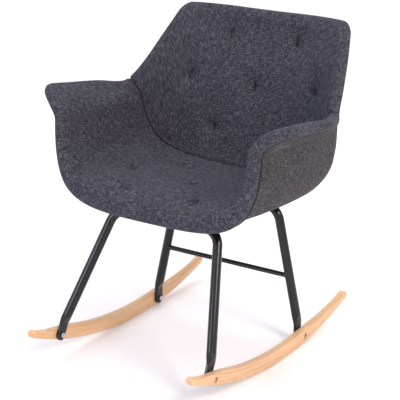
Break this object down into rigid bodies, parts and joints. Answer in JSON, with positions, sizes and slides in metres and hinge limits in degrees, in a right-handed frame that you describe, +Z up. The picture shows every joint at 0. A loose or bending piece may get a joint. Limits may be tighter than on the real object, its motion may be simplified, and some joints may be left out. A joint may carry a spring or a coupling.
{
  "type": "rocking chair",
  "caption": "Padded bucket armchair in dark woven fabric on black bent-tube leg loops, bolted to curved beech rockers.",
  "frame": {"origin": "middle of the bounding box's base, on the floor, midway between the rockers' tips", "axes": "+X the sitter's left, +Y from front to back (the sitter faces -Y), +Z up"},
  "size_m": [0.7276, 0.7542, 0.8184],
  "materials": {
    "fabric": "heathered charcoal slub weave, matt",
    "shell_plastic": "moulded, matt",
    "black_steel": "satin black powder coat",
    "beech": "clear satin lacquer on beech",
    "zinc": "bright zinc plate",
    "rubber": "matt"
  },
  "bodies": {
    "root": {"seat_button_front_left": "fabric", "seat_button_front_right": "fabric", "seat_button_side_left": "fabric", "seat_button_side_right": "fabric", "seat_button_rear_left": "fabric", "seat_button_rear_right": "fabric", "back_button_low_left": "fabric", "back_button_low_right": "fabric", "back_button_side_left": "fabric", "back_button_side_right": "fabric", "back_button_top_left": "fabric", "back_button_top_right": "fabric", "seat_button_centre_middle": "fabric", "back_button_centre_middle": "fabric", "seat_pad": "fabric", "back_pad": "fabric", "outer_cover": "fabric", "seat_shell": "shell_plastic", "front_leg_loop": "black_steel", "front_seat_plate": "black_steel", "front_left_rocker_bolt": "zinc", "front_left_sleeve_nut": "zinc", "front_left_seat_bolt": "zinc", "front_left_tee_nut": "zinc", "front_left_spacer": "rubber", "front_right_rocker_bolt": "zinc", "front_right_sleeve_nut": "zinc", "front_right_seat_bolt": "zinc", "front_right_tee_nut": "zinc", "front_right_spacer": "rubber", "rear_leg_loop": "black_steel", "rear_seat_plate": "black_steel", "rear_left_rocker_bolt": "zinc", "rear_left_sleeve_nut": "zinc", "rear_left_seat_bolt": "zinc", "rear_left_tee_nut": "zinc", "rear_left_spacer": "rubber", "rear_right_rocker_bolt": "zinc", "rear_right_sleeve_nut": "zinc", "rear_right_seat_bolt": "zinc", "rear_right_tee_nut": "zinc", "rear_right_spacer": "rubber", "rear_stretcher": "black_steel", "left_rocker": "beech", "right_rocker": "beech"}
  },
  "joints": []
}
